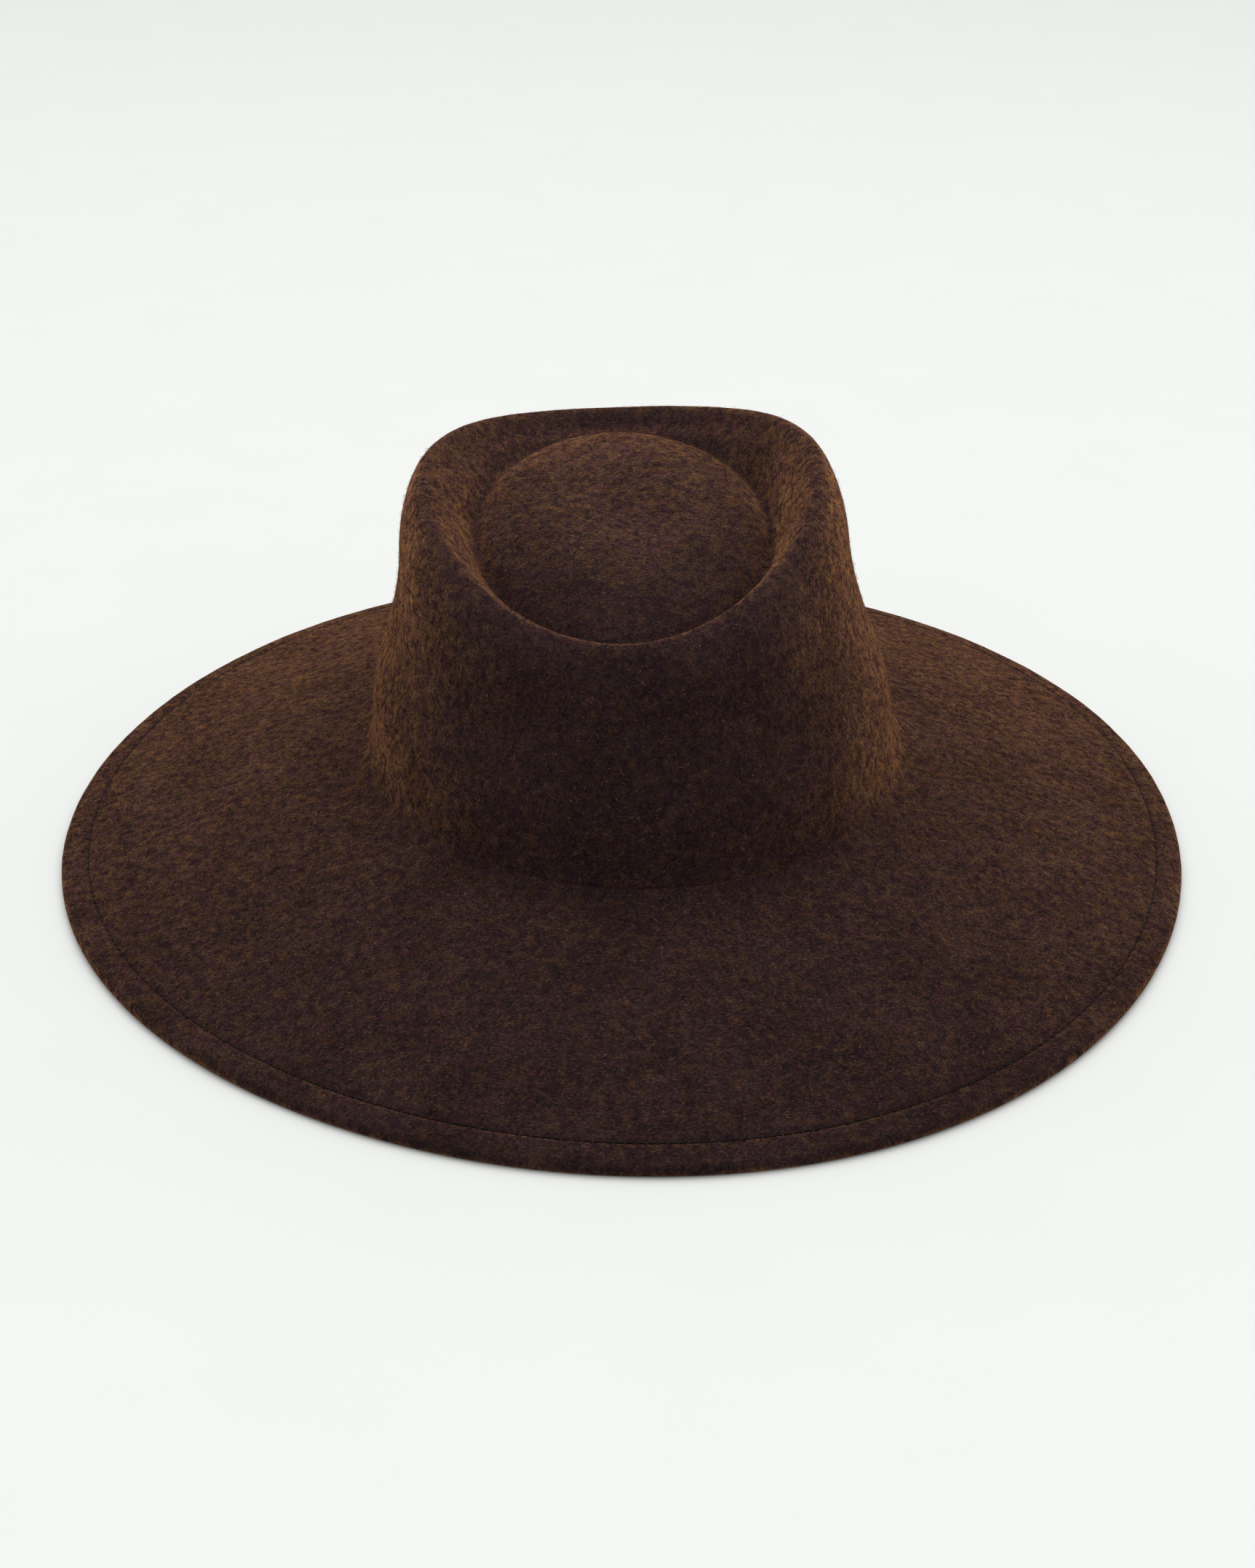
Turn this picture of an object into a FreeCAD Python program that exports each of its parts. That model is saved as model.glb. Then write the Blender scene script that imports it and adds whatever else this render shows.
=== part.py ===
"""Wide-brim wool felt hat with a telescope crown: the pieces a hatter puts together.

Millimetres. +Z is up, +Y is the front of the hat, +X is the wearer's right.
The origin is on the surface that the brim edge rests on, in the middle of the brim.
"""
import FreeCAD
import Part

import math
import os

Vector = FreeCAD.Vector

# ---- Brim
BRIM_HALF_WIDTH = 183.7
BRIM_HALF_LENGTH = 199.6
BRIM_HEIGHT = 32.7          # table to the crease where the crown meets the brim
FELT = 2.2                  # thickness of the felt
STITCH_INSET = 8.6          # brim edge to the row of stitches
FOLD_MARGIN = 2.9           # from the stitches on to the raw edge of the turned-under felt
FOLD_WIDTH = STITCH_INSET + FOLD_MARGIN
GROOVE_DEPTH = 0.5          # how far the stitches pull the felt down
GROOVE_SPREAD = 2.0         # half the width of that dip
REST_FLAT = 0.2             # how much the felt is pressed flat where it rests
BRIM_SHARES = (0.2, 0.5, 0.8)  # where the brim's straight slope is held, crease to edge
# A brim cut by hand is a little uneven: (waves round the hat, cosine share, sine share)
BRIM_WAVES = ((2, 0.0, 0.0029), (3, -0.0044, 0.0009), (4, 0.0, 0.0049))
BRIM_CENTRE = (0.79, 0.22)  # puts the box of that outline in the middle

# ---- Crown
CROWN_HALF_WIDTH = 86.5     # outside of the felt at the crease
CROWN_HALF_LENGTH = 105.8
CROWN_RISE = 84.5           # crease to the average height of the crest
CROWN_HEIGHT = BRIM_HEIGHT + CROWN_RISE
CROWN_RIGHT_SHIFT = 3.0     # the crown's foot sits this far to the right of the brim's middle
CROWN_BACK_SHIFT = 1.6      # and this far behind it
CREST_FRONT_SHIFT = 1.4     # and its crest this far in front of it
LEAN = 0.059                # sideways lean to the wearer's left, per mm of height
CREST_FRONT_RISE = 7.1      # the crest is higher at the front than at the back
CREST_RIGHT_RISE = 2.6
CREST_SIDE_RISE = 8.0       # and higher at both sides than at front and back
FOOT_FILLET = 4.2           # softness of the crease, all round
FOOT_FILLET_FRONT = 1.6     # more at the front, less at the back
FOOT_INSET = 1.0            # where the wall comes out of that softness
FOOT_RISE = 1.3             # and how high up, in softnesses
FOOT_REACH = 1.2            # how far out on the brim it ends, in softnesses
FOOT_SOFTEN = 0.29          # how far the corner is rounded off, in softnesses

# Outside of the crown, from the crease up: (inset from the crown's foot, share of the rise)
WALL_SHAPE = ((3.3, 0.238), (9.5, 0.460), (14.9, 0.714), (17.4, 0.889))
WALL_STATIONS = [(inset, BRIM_HEIGHT + share * CROWN_RISE) for inset, share in WALL_SHAPE]
CREST_INSET = 24.8
CREST_INNER_STEP = (5.0, 4.2)  # from the crest inwards and down, where the pit begins

# ---- Pit and dome in the top of the crown
PIT_INSET = 39.5            # crown's foot to the groove round the dome
PIT_DEPTH = 15.9            # average crest to that groove
PIT_HEIGHT = CROWN_HEIGHT - PIT_DEPTH
PIT_FRONT_RISE = 11.5
PIT_SIDE_RISE = 3.5
PIT_WALL_SHARE = 0.55       # how far down the pit's wall its middle line is held
DOME_DEPTH = 4.4            # average crest to the middle of the dome
DOME_HEIGHT = CROWN_HEIGHT - DOME_DEPTH
DOME_FULLNESS = 4.2         # higher is flatter on top and steeper at the sides
DOME_CAP = 0.12             # share of the dome that is a plain facet in the middle
DOME_REACHES = (DOME_CAP, 0.35, 0.6, 0.8, 0.92)  # lines on the dome, middle to groove

# ---- Wire in the brim edge
WIRE_RADIUS = 0.6
WIRE_GAP = 1.0              # between its two ends, inside the joiner
JOINER_WALL = 0.4
JOINER_LENGTH = 24.0
JOINER_POCKET = 25.0        # length of its pocket in the felt
WIRE_CLEARANCE = 0.05

# ---- Threads
THREAD_RADIUS = 0.25
THREAD_CLEARANCE = 0.03
BAND_THREAD_RISE = 3.0      # above the band's lower edge

# ---- Sweatband and what goes with it
BAND_HEIGHT = 32.0
BAND_THICKNESS = 1.0
BAND_FOOT = 1.2             # crease to the band's lower edge
BAND_SLIT = 0.6             # between the band's two ends, at the back
FELT_LEVEL = 1.27           # the leaning wall cut level is this many felts thick
REED_RADIUS = 0.9
TAPE_THICKNESS = 0.3
TAPE_HEIGHT = 7.0
TAPE_GAP = 0.44             # felt to the tape, with the glue between them
SEAM_TAPE_WIDTH = 12.0
SEAM_TAPE_THICKNESS = 0.4
BOW_WIDTH = 26.0
BOW_HEIGHT = 9.0
BOW_THICKNESS = 0.8
BOW_KNOT_WIDTH = 5.0
BOW_KNOT_THICKNESS = 1.6
LABEL_WIDTH = 24.0
LABEL_HEIGHT = 12.0
LABEL_THICKNESS = 0.4

# ---- Size adjuster, behind the band at the back
LOOP_WIDTH = 60.0
LOOP_THICKNESS = 0.8
TAB_WIDTH = 28.0
TAB_THICKNESS = 0.7
TAB_HEIGHT = 18.0
TAB_TAPE_GAP = 0.8          # between the reed's tape and the tab above it
TAB_FOOT = BAND_FOOT + TAPE_HEIGHT + TAB_TAPE_GAP
TAB_FELT_GAP = 0.67         # felt to the tab
TAB_SLIDE_GAP = 0.4         # between the tab and the loop strip
TAB_GRIP_WIDTH = 12.0
TAB_GRIP_RISE = 6.0         # above the band's upper edge

# The band stands off the felt by the thicker of the two stacks behind it
REED_STACK = TAPE_GAP + TAPE_THICKNESS + 2 * REED_RADIUS + 2 * THREAD_CLEARANCE
TAB_STACK = TAB_FELT_GAP + TAB_THICKNESS + TAB_SLIDE_GAP + LOOP_THICKNESS + THREAD_CLEARANCE
BAND_GAP = max(REED_STACK, TAB_STACK)

# ---- How finely it is drawn
AROUND = 48                 # points around each closed line
TUBE_STEPS = 8              # lines along each round tube
NOSE_STEPS = 6              # steps round the brim edge
BAND_STEPS = 4              # steps up each band
SEWING = 1e-4               # gap that is closed between two faces
ANGLES = [2 * math.pi * i / AROUND for i in range(AROUND)]


# ---- Closed lines and skins

def ring(point_at):
    """The points of one closed line round the hat."""
    return [point_at(angle) for angle in ANGLES]


def closed_curve(points):
    curve = Part.BSplineCurve()
    knots = [float(i) for i in range(len(points) + 1)]
    curve.interpolate(Points=points, PeriodicFlag=True, Parameters=knots)
    return curve


def spacing(rings):
    """Average distance walked from the first ring to each ring."""
    walked = [0.0]
    for one, other in zip(rings, rings[1:]):
        step = sum(a.distanceToPoint(b) for a, b in zip(one, other)) / AROUND
        walked.append(walked[-1] + step)
    return walked


def skin(rings):
    """One smooth face through rings of points."""
    curves = [closed_curve(points) for points in rings]
    stations = spacing(rings)
    poles = []
    for column in zip(*[curve.getPoles() for curve in curves]):
        across = Part.BSplineCurve()
        across.interpolate(Points=list(column), Parameters=stations)
        poles.append(across.getPoles())
    surface = Part.BSplineSurface()
    surface.buildFromPolesMultsKnots(
        poles, curves[0].getMultiplicities(), across.getMultiplicities(),
        curves[0].getKnots(), across.getKnots(), True, False, 3, across.Degree)
    return surface.toShape()


def closed_wire(points):
    return Part.Wire(closed_curve(points).toShape())


def cap(points):
    """A flat face inside one flat ring."""
    return Part.Face(closed_wire(points))


def flat_ring(outer, inner):
    """The flat face between two level rings."""
    return Part.makeFace([closed_wire(outer), closed_wire(inner)], "Part::FaceMakerBullseye")


def closed_solid(faces):
    shell = Part.Shell(faces)
    shell.sewShape()
    solid = Part.Solid(shell)
    solid.fix(SEWING, SEWING, SEWING)
    if solid.Volume < 0:
        solid.reverse()
    return solid


def offset(rings, distance):
    """The rings moved along the skin's normal: the other face of the felt."""
    moved = []
    last = len(rings) - 1
    for k, points in enumerate(rings):
        before = rings[max(k - 1, 0)]
        after = rings[min(k + 1, last)]
        line = []
        for i, point in enumerate(points):
            along = points[(i + 1) % AROUND] - points[i - 1]
            across = after[i] - before[i]
            normal = across.cross(along).normalize()
            line.append(point - normal * distance)
        moved.append(line)
    return moved


def closed_tube(centre_at, radius):
    """A round tube along one closed line; centre_at gives its middle."""
    lines = []
    for k in range(TUBE_STEPS + 1):
        turn = 2 * math.pi * k / TUBE_STEPS
        out = radius * math.cos(turn)
        rise = radius * math.sin(turn)
        lines.append(ring(lambda a: centre_at(a) + outward(a) * out + Vector(0, 0, rise)))
    half = TUBE_STEPS // 2
    return closed_solid([skin(lines[:half + 1]), skin(lines[half:])])


def outward(angle):
    """Level direction square to the oval, for a tube's cross-section."""
    normal = Vector(BRIM_HALF_LENGTH * math.cos(angle), BRIM_HALF_WIDTH * math.sin(angle), 0)
    return normal.normalize()


def slab(x_low, x_high, y_low, y_high):
    """A box over the hat's whole height, to cut out a stretch of a ring."""
    top = 2 * CROWN_HEIGHT
    return Part.makeBox(x_high - x_low, y_high - y_low, 2 * top, Vector(x_low, y_low, -top))


def at_back_slot(width):
    """The box round a stretch of the back, on the leaning crown's middle line."""
    middle = crown_middle(BAND_LOW + BAND_HEIGHT / 2)
    return slab(middle - width / 2, middle + width / 2, -BRIM_HALF_LENGTH - 1, 0)


def at_back(shape, width):
    """The stretch of a ring at the back of the hat."""
    return shape.common(at_back_slot(width))


# ---- The shape of the hat

def crest_rise(angle):
    return (CREST_FRONT_RISE * math.sin(angle) + CREST_RIGHT_RISE * math.cos(angle)
            + CREST_SIDE_RISE * math.cos(2 * angle))


def share_of_crown(height):
    return (height - BRIM_HEIGHT) / (CROWN_HEIGHT - BRIM_HEIGHT)


def crown_middle(height):
    """Sideways place of the leaning crown's middle line."""
    return CROWN_RIGHT_SHIFT - LEAN * (height - BRIM_HEIGHT)


def crown_oval(inset, height, share, angle):
    x = crown_middle(height) + (CROWN_HALF_WIDTH - inset) * math.cos(angle)
    middle = -CROWN_BACK_SHIFT + min(share, 1.0) * (CROWN_BACK_SHIFT + CREST_FRONT_SHIFT)
    return Vector(x, middle + (CROWN_HALF_LENGTH - inset) * math.sin(angle), height)


def crown_point(inset, height, angle):
    """A point on the crown; each height swells with the crest above it."""
    share = share_of_crown(height)
    return crown_oval(inset, height + share * crest_rise(angle), share, angle)


def foot_fillet(angle):
    return FOOT_FILLET + FOOT_FILLET_FRONT * math.sin(angle)


def foot_height(angle):
    return BRIM_HEIGHT + FOOT_RISE * foot_fillet(angle)


def pit_height(angle):
    return PIT_HEIGHT + PIT_FRONT_RISE * math.sin(angle) + PIT_SIDE_RISE * math.cos(2 * angle)


def pit_point(angle):
    return crown_oval(PIT_INSET, pit_height(angle), 1.0, angle)


def pit_wall_point(angle):
    """Half way down the pit's wall, a little nearer to its foot."""
    inner = CREST_INSET + CREST_INNER_STEP[0]
    top = crown_point(inner, CROWN_HEIGHT - CREST_INNER_STEP[1], angle)
    foot = pit_point(angle)
    middle = top + (foot - top) * PIT_WALL_SHARE
    return Vector(middle.x, middle.y, (top.z + foot.z) / 2)


def dome_point(reach, angle):
    """reach is 0 in the middle of the dome and 1 in the groove round it."""
    tilt = PIT_FRONT_RISE / (CROWN_HALF_LENGTH - PIT_INSET)
    depth = (CROWN_HALF_LENGTH - PIT_INSET) * reach * math.sin(angle)
    fall = max(reach - DOME_CAP, 0) / (1 - DOME_CAP)
    drop = fall ** DOME_FULLNESS
    height = (1 - drop) * (DOME_HEIGHT + tilt * depth) + drop * pit_height(angle)
    across = (CROWN_HALF_WIDTH - PIT_INSET) * reach * math.cos(angle)
    return Vector(crown_middle(height) + across, CREST_FRONT_SHIFT + depth, height)


NOSE_CENTRE = FELT - REST_FLAT
BRIM_SLOPE = math.atan2(BRIM_HEIGHT - NOSE_CENTRE - FELT, BRIM_HALF_WIDTH - FELT - CROWN_HALF_WIDTH)
START_INSET = FELT - FELT * math.sin(BRIM_SLOPE)  # where the brim's slope meets the rounded edge
FOLD_SHIFT = 2 * FELT * math.sin(BRIM_SLOPE)  # inwards, square through both thicknesses of the fold


def brim_oval(inset, height, angle):
    """The brim's uneven outline, and level lines inset from it."""
    reach = 1.0
    for waves, cosine, sine in BRIM_WAVES:
        reach += cosine * math.cos(waves * angle) + sine * math.sin(waves * angle)
    x = (BRIM_HALF_WIDTH * reach - inset) * math.cos(angle)
    y = (BRIM_HALF_LENGTH * reach - inset) * math.sin(angle)
    return Vector(BRIM_CENTRE[0] + x, BRIM_CENTRE[1] + y, height)


def nose_point(turn, angle):
    """The rounded brim edge; turn is 0 at its outermost line and a quarter turn on top."""
    inset = FELT - FELT * math.cos(turn)
    return brim_oval(inset, NOSE_CENTRE + FELT * math.sin(turn), angle)


def brim_point(inset, angle, lift=0.0):
    """On the upper face of the brim, inset from its edge and lifted square to the table."""
    start = nose_point(math.pi / 2 - BRIM_SLOPE, angle)
    end = crown_point(0.0, BRIM_HEIGHT, angle)
    share = (inset - START_INSET) / (BRIM_HALF_WIDTH - CROWN_HALF_WIDTH - START_INSET)
    return start + (end - start) * share + Vector(0, 0, lift)


def crease_inset(outset):
    """Inset from the brim edge of a line that lies outset from the crease."""
    return BRIM_HALF_WIDTH - CROWN_HALF_WIDTH - outset


def crease_point(angle):
    """The middle of the rounded crease between crown and brim."""
    soften = FOOT_SOFTEN * foot_fillet(angle)
    return brim_point(crease_inset(soften), angle, FOOT_RISE * soften)


def dome_rings():
    return [ring(lambda a: dome_point(reach, a)) for reach in DOME_REACHES]


def crown_rings():
    """From the groove round the dome, over the crest and down to the crease."""
    inner = CREST_INSET + CREST_INNER_STEP[0]
    rings = [ring(pit_point), ring(pit_wall_point)]
    rings.append(ring(lambda a: crown_point(inner, CROWN_HEIGHT - CREST_INNER_STEP[1], a)))
    rings.append(ring(lambda a: crown_point(CREST_INSET, CROWN_HEIGHT, a)))
    for inset, height in reversed(WALL_STATIONS):
        rings.append(ring(lambda a: crown_point(inset, height, a)))
    rings.append(ring(lambda a: crown_point(FOOT_INSET, foot_height(a), a)))
    return rings


def brim_rings(edge_insets, dip):
    """From the crease out to the brim edge; dip lowers the line of stitches."""
    rings = [ring(crease_point)]
    rings.append(ring(lambda a: brim_point(crease_inset(FOOT_REACH * foot_fillet(a)), a)))
    for share in BRIM_SHARES:
        rings.append(ring(lambda a: brim_point(crease_inset(share * crease_inset(0)), a)))
    for inset, depth in edge_insets:
        rings.append(ring(lambda a: brim_point(inset, a, -depth * dip)))
    return rings


def felt_body():
    """Crown and brim are one piece of felt, turned under at the brim edge."""
    half = GROOVE_SPREAD / 2
    groove = [(STITCH_INSET + 2 * half, 0.0), (STITCH_INSET + half, 0.5), (STITCH_INSET, 1.0),
              (STITCH_INSET - half, 0.5), (STITCH_INSET - 2 * half, 0.0), (START_INSET, 0.0)]
    crown = dome_rings() + crown_rings()
    outside = crown + brim_rings(groove, GROOVE_DEPTH)

    first = math.pi / 2 - BRIM_SLOPE
    last = -math.pi / 2 + math.acos(1 - REST_FLAT / FELT)
    nose = [ring(lambda a: nose_point(first + (last - first) * k / NOSE_STEPS, a))
            for k in range(NOSE_STEPS + 1)]

    run_in = FOLD_WIDTH + FELT / 2
    smooth = crown + brim_rings([(run_in, 0.0), (FOLD_WIDTH, 0.0)], 0.0)
    inside = offset(smooth, FELT)
    flat_normal = plane_normal(smooth[0])
    inside[0] = [point - flat_normal * FELT for point in smooth[0]]

    raw_edge = ring(lambda a: underside_point(FOLD_WIDTH, a))
    rest_inner = ring(lambda a: brim_oval(rest_end(), 0.0, a))
    faces = [cap(outside[0]), skin(outside), skin(nose), flat_ring(nose[-1], rest_inner),
             skin([rest_inner, raw_edge]), skin([raw_edge, inside[-1]]), skin(inside),
             cap(inside[0])]
    body = closed_solid(faces)
    body = body.cut(closed_tube(wire_centre, WIRE_RADIUS + WIRE_CLEARANCE))
    return body.cut(joiner_blank(JOINER_POCKET, WIRE_CLEARANCE))


def plane_normal(points):
    """Normal of a flat ring, pointing up."""
    half = AROUND // 2
    quarter = AROUND // 4
    normal = (points[0] - points[half]).cross(points[quarter] - points[-quarter])
    normal.normalize()
    return normal if normal.z > 0 else -normal


def underside_point(inset, angle):
    """On the lower face of the turned-under felt, two thicknesses below the brim's upper face."""
    return brim_point(inset + FOLD_SHIFT, angle, -2 * FELT / math.cos(BRIM_SLOPE))


def rest_start():
    """Inset of the outer line of the flat that the hat rests on."""
    return FELT - FELT * math.sin(math.acos(1 - REST_FLAT / FELT))


def rest_end():
    """Inset of the inner line of the flat that the hat rests on."""
    underside_start = FELT * math.sin(BRIM_SLOPE)
    dip = FELT * math.cos(BRIM_SLOPE) - NOSE_CENTRE
    return FELT + underside_start + dip / math.tan(BRIM_SLOPE)


# ---- Brim edge pieces

def wire_centre(angle):
    return brim_oval(FELT, NOSE_CENTRE, angle)


def joiner_blank(length, extra):
    radius = WIRE_RADIUS + WIRE_CLEARANCE + JOINER_WALL + extra
    return at_back(closed_tube(wire_centre, radius), length)


def brim_wire():
    return closed_tube(wire_centre, WIRE_RADIUS).cut(at_back_slot(WIRE_GAP))


def brim_wire_joiner():
    bore = closed_tube(wire_centre, WIRE_RADIUS + WIRE_CLEARANCE)
    return joiner_blank(JOINER_LENGTH, 0.0).cut(bore)


def brim_needle_thread():
    rise = THREAD_RADIUS + THREAD_CLEARANCE - GROOVE_DEPTH
    return closed_tube(lambda a: brim_point(STITCH_INSET, a, rise), THREAD_RADIUS)


def bobbin_centre(angle):
    """Square off the fold's lower face, which runs straight from the resting flat to the raw edge."""
    flat = brim_oval(rest_end(), 0.0, angle)
    slope = underside_point(FOLD_WIDTH, angle) - flat
    share = (STITCH_INSET - rest_end()) / (FOLD_WIDTH + FOLD_SHIFT - rest_end())
    level = math.hypot(slope.x, slope.y)
    drop = (THREAD_RADIUS + THREAD_CLEARANCE) * slope.Length / level
    return flat + slope * share - Vector(0, 0, drop)


def brim_bobbin_thread():
    return closed_tube(bobbin_centre, THREAD_RADIUS)


# ---- Pieces inside the crown

def wall_inset(height, angle):
    """Inset of the crown's outside at a height: a parabola through its lowest stations."""
    stations = [(FOOT_INSET, foot_height(angle))] + list(WALL_STATIONS[:2])
    rise = crest_rise(angle)
    levels = [station[1] + share_of_crown(station[1]) * rise for station in stations]
    total = 0.0
    for k, station in enumerate(stations):
        weight = 1.0
        for level in levels[:k] + levels[k + 1:]:
            weight *= (height - level) / (levels[k] - level)
        total += station[0] * weight
    return total


def inside_point(gap, height, angle):
    """gap is measured level, from the felt's inner face."""
    inset = wall_inset(height, angle) + FELT * FELT_LEVEL + gap
    return crown_oval(inset, height, share_of_crown(height), angle)


def wall_band(gap, thickness, low, high):
    """A band that follows the inside of the crown, between two heights."""
    heights = [low + (high - low) * k / BAND_STEPS for k in range(BAND_STEPS + 1)]
    outer = [ring(lambda a: inside_point(gap, height, a)) for height in heights]
    inner = [ring(lambda a: inside_point(gap + thickness, height, a)) for height in heights]
    return closed_solid([skin(outer), skin([outer[-1], inner[-1]]), skin(inner),
                         skin([inner[0], outer[0]])])


BAND_LOW = BRIM_HEIGHT + BAND_FOOT
BAND_HIGH = BAND_LOW + BAND_HEIGHT
BAND_INNER = BAND_GAP + BAND_THICKNESS


def sweatband():
    band = wall_band(BAND_GAP, BAND_THICKNESS, BAND_LOW, BAND_HIGH)
    return band.cut(at_back_slot(BAND_SLIT))


def sweatband_reed():
    height = BAND_LOW + REED_RADIUS
    gap = BAND_GAP - REED_RADIUS - THREAD_CLEARANCE
    return closed_tube(lambda a: inside_point(gap, height, a), REED_RADIUS)


def reed_tape():
    return wall_band(TAPE_GAP, TAPE_THICKNESS, BAND_LOW, BAND_LOW + TAPE_HEIGHT)


def sweatband_thread():
    gap = BAND_INNER + THREAD_RADIUS + THREAD_CLEARANCE
    height = BAND_LOW + BAND_THREAD_RISE
    return closed_tube(lambda a: inside_point(gap, height, a), THREAD_RADIUS)


def sweatband_seam_tape():
    low = BAND_LOW + BAND_THREAD_RISE + 2 * THREAD_RADIUS
    strip = wall_band(BAND_INNER + THREAD_CLEARANCE, SEAM_TAPE_THICKNESS, low, BAND_HIGH)
    return at_back(strip, SEAM_TAPE_WIDTH)


def sweatband_bow():
    """Two flat loops and a knot, sewn over the seam tape."""
    gap = BAND_INNER + SEAM_TAPE_THICKNESS + 2 * THREAD_CLEARANCE
    middle = BAND_LOW + BAND_HEIGHT / 2
    loops = at_back(wall_band(gap, BOW_THICKNESS, middle - BOW_HEIGHT / 2,
                              middle + BOW_HEIGHT / 2), BOW_WIDTH)
    knot = at_back(wall_band(gap, BOW_KNOT_THICKNESS, middle - BOW_HEIGHT / 3,
                             middle + BOW_HEIGHT / 3), BOW_KNOT_WIDTH)
    loops = loops.cut(at_back_slot(BOW_KNOT_WIDTH + 2 * THREAD_CLEARANCE))
    return Part.makeCompound(loops.Solids + [knot])


def size_label():
    """A blank woven label, on the wearer's left."""
    gap = BAND_INNER + THREAD_CLEARANCE
    middle = BAND_LOW + BAND_HEIGHT / 2
    strip = wall_band(gap, LABEL_THICKNESS, middle - LABEL_HEIGHT / 2, middle + LABEL_HEIGHT / 2)
    return strip.common(slab(-CROWN_HALF_WIDTH, 0, -LABEL_WIDTH / 2, LABEL_WIDTH / 2))


TAB_LOW = BRIM_HEIGHT + TAB_FOOT
TAB_HIGH = TAB_LOW + TAB_HEIGHT
LOOP_GAP = BAND_GAP - LOOP_THICKNESS - THREAD_CLEARANCE
TAB_GAP = LOOP_GAP - TAB_SLIDE_GAP - TAB_THICKNESS  # at least TAB_FELT_GAP


def adjuster_loop_strip():
    return at_back(wall_band(LOOP_GAP, LOOP_THICKNESS, TAB_LOW, TAB_HIGH), LOOP_WIDTH)


def adjuster_tab():
    """The hook side: it slides round the back behind the band."""
    top = BAND_HIGH + TAB_GRIP_RISE
    below = Part.makeBox(4 * CROWN_HALF_WIDTH, 4 * CROWN_HALF_LENGTH, TAB_HIGH,
                         Vector(-2 * CROWN_HALF_WIDTH, -2 * CROWN_HALF_LENGTH, 0))
    outline = at_back_slot(TAB_WIDTH).common(below).fuse(at_back_slot(TAB_GRIP_WIDTH))
    return wall_band(TAB_GAP, TAB_THICKNESS, TAB_LOW, top).common(outline)


def slide_centre():
    """Middle of the arc that the tab slides on, for the joint."""
    height = (TAB_LOW + TAB_HIGH) / 2
    back = inside_point(TAB_GAP, height, -math.pi / 2)
    side = inside_point(TAB_GAP, height, 0.0)
    half_width = side.x - back.x
    middle = crown_oval(0, height, share_of_crown(height), 0.0).y
    half_length = middle - back.y
    return Vector(back.x, back.y + half_width ** 2 / half_length, height)


PIECES = (felt_body, brim_wire, brim_wire_joiner, brim_needle_thread, brim_bobbin_thread,
          sweatband, sweatband_reed, reed_tape, sweatband_thread, sweatband_seam_tape,
          sweatband_bow, size_label, adjuster_loop_strip, adjuster_tab)


def main():
    os.makedirs("parts", exist_ok=True)
    for piece in PIECES:
        shape = piece()
        shape.exportStep("parts/" + piece.__name__ + ".step")
        box = shape.BoundBox
        print("%-22s solids %d valid %s volume %9.1f z %.2f..%.2f" % (
            piece.__name__, len(shape.Solids), shape.isValid(), shape.Volume, box.ZMin, box.ZMax))
    centre = slide_centre()
    print("tab slides round x %.2f y %.2f" % (centre.x, centre.y))
    rest = (brim_oval(rest_end(), 0.0, -math.pi / 2) + brim_oval(rest_start(), 0.0, -math.pi / 2)) / 2
    print("middle of the resting flat at the back: x %.2f y %.2f" % (rest.x, rest.y))


main()
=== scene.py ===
# %% [markdown]
# # A wide-brim wool felt hat with a telescope crown
#
# A hatter makes such a hat from one felted cone of wool. It is steamed, pulled over a wooden block, and
# the block gives it the tall wall, the oval pit in the top and the dome that stands in the pit. The brim
# is ironed flat, its edge is turned under round a wire, and one row of stitches holds the fold. A ribbon
# band inside the crown's foot touches the head.
#
# Everything here is in metres. +Z is up, +Y is the front of the hat and +X is the wearer's right.

# %% The frame from the CAD model
import math
import bmesh
import bpy
import numpy as np
from mathutils import Matrix, Vector, noise


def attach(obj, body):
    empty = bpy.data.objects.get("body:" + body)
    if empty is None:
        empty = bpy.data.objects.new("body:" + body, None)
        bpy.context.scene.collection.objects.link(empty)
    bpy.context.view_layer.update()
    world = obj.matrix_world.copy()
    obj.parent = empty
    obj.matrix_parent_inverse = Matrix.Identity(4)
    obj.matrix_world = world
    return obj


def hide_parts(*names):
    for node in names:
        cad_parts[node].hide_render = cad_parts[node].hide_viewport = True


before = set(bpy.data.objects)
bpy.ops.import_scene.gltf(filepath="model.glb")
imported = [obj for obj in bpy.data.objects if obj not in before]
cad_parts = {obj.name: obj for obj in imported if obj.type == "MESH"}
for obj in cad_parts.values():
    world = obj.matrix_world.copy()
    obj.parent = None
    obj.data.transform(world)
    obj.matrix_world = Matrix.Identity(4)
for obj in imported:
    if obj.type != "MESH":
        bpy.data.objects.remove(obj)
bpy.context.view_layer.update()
MM = 0.001

# %% [markdown]
# ## Sizes
#
# These are the sizes that the CAD model is drawn with, in millimetres, so that each piece here lies
# where its CAD node lies. The felt is 2.2 mm thick, which is a common weight for a stiff-brimmed hat.

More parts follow.
